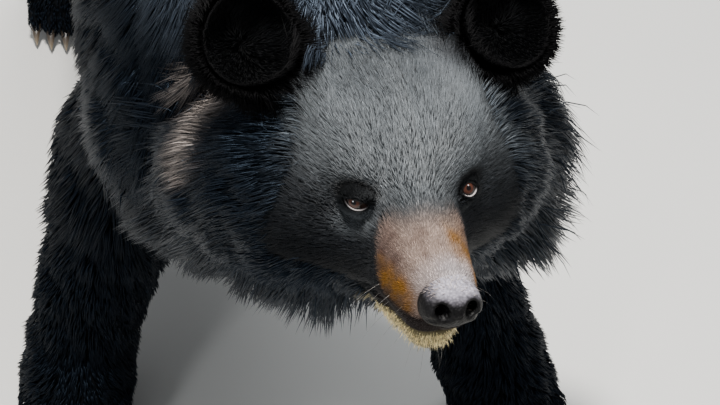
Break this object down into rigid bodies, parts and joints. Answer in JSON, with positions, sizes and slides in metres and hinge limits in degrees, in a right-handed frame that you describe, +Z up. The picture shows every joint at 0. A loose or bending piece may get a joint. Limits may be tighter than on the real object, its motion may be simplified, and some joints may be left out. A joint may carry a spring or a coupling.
{
  "type": "asiatic black bear",
  "caption": "Life-size standing bear with round ears, a full ruff, a long pale muzzle and clawed paws, as a still museum model.",
  "frame": {"origin": "on the floor under the middle of the bear's box", "axes": "+Z up, the bear faces -Y, +X is the bear's own left"},
  "size_m": [0.5984, 1.4252, 0.7741],
  "materials": {
    "coat": "long black hair with a cool sheen",
    "face": "short dense grey-black fur, tan on the muzzle, cream on the chin",
    "ear": "short black plush with a rust-tinged rim",
    "nose": "moist pebbled skin",
    "eye": "wet amber-brown iris and black pupil",
    "claw": "worn horn, paler towards the tip"
  },
  "bodies": {
    "root": {"upper_arm_right": "coat", "upper_arm_left": "coat", "thigh_right": "coat", "thigh_left": "coat", "chest": "coat", "belly": "coat", "rump": "coat", "neck": "coat", "head": "face", "nose": "nose", "tail": "coat", "eye_right": "eye", "ear_right": "ear", "eye_left": "eye", "ear_left": "ear", "forearm_right": "coat", "fore_paw_right": "coat", "fore_claw_right_1": "claw", "fore_claw_right_2": "claw", "fore_claw_right_3": "claw", "fore_claw_right_4": "claw", "fore_claw_right_5": "claw", "forearm_left": "coat", "fore_paw_left": "coat", "fore_claw_left_1": "claw", "fore_claw_left_2": "claw", "fore_claw_left_3": "claw", "fore_claw_left_4": "claw", "fore_claw_left_5": "claw", "shank_right": "coat", "hind_paw_right": "coat", "hind_claw_right_1": "claw", "hind_claw_right_2": "claw", "hind_claw_right_3": "claw", "hind_claw_right_4": "claw", "hind_claw_right_5": "claw", "shank_left": "coat", "hind_paw_left": "coat", "hind_claw_left_1": "claw", "hind_claw_left_2": "claw", "hind_claw_left_3": "claw", "hind_claw_left_4": "claw", "hind_claw_left_5": "claw"}
  },
  "joints": []
}
